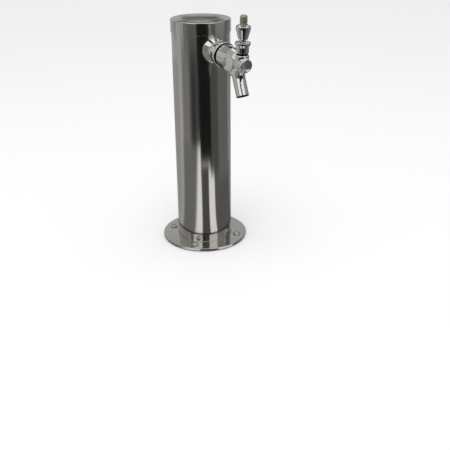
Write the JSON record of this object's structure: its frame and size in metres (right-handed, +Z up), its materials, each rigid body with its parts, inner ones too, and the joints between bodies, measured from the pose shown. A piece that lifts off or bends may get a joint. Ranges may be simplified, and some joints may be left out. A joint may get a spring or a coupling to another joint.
{
  "type": "beer tap tower",
  "caption": "Polished steel column on a round bolted flange with a push-on cap and a chrome lever faucet on its shank, whose bare threaded stud takes a tap handle.",
  "frame": {"origin": "centre of the base, on the counter's surface", "axes": "+Z up along the column; the faucet faces -Y; +X to the right when seen from the faucet's side looking along +Y"},
  "size_m": [0.12, 0.1749, 0.3234],
  "materials": {
    "polished_steel": "mirror-polished stainless steel",
    "chrome": "bright chrome plate",
    "brass": "turned, unplated",
    "turned_steel": "turned stainless steel",
    "rubber": "matt black",
    "nylon": "natural nylon"
  },
  "bodies": {
    "tower": {"column_tube": "polished_steel", "base_flange": "polished_steel", "base_gasket": "rubber", "shank_bell": "chrome", "shank": "chrome", "backing_washer": "turned_steel", "jam_nut": "turned_steel", "elbow_washer": "rubber", "tail_elbow": "brass", "elbow_nut": "brass", "coupling_nut": "chrome", "coupling_washer": "rubber", "faucet_body": "chrome", "lever_bonnet": "chrome", "friction_ring": "nylon"},
    "cap": {"column_cap": "polished_steel"},
    "lever": {"lever": "brass", "lever_ferrule": "chrome"},
    "valve": {"valve_shaft": "turned_steel", "seat_washer": "rubber", "shaft_nut": "brass"}
  },
  "joints": [
    {"name": "lever_tilt", "type": "hinge", "parent": "tower", "child": "lever", "pos_m": [0, -0.10411, 0.28292], "axis": [1, 0, 0], "range_deg": [0, 25]},
    {"name": "valve_slide", "type": "slide", "parent": "tower", "child": "valve", "axis": [0, 0.9976, 0.0698], "range_m": [0, 0.0069]},
    {"name": "cap_lift", "type": "slide", "parent": "tower", "child": "cap", "axis": [0, 0, 1], "range_m": [0, 0.03]}
  ],
  "couplings": [
    {"joint": "valve_slide", "follows": "lever_tilt", "m_per_rad": 0.0156}
  ]
}
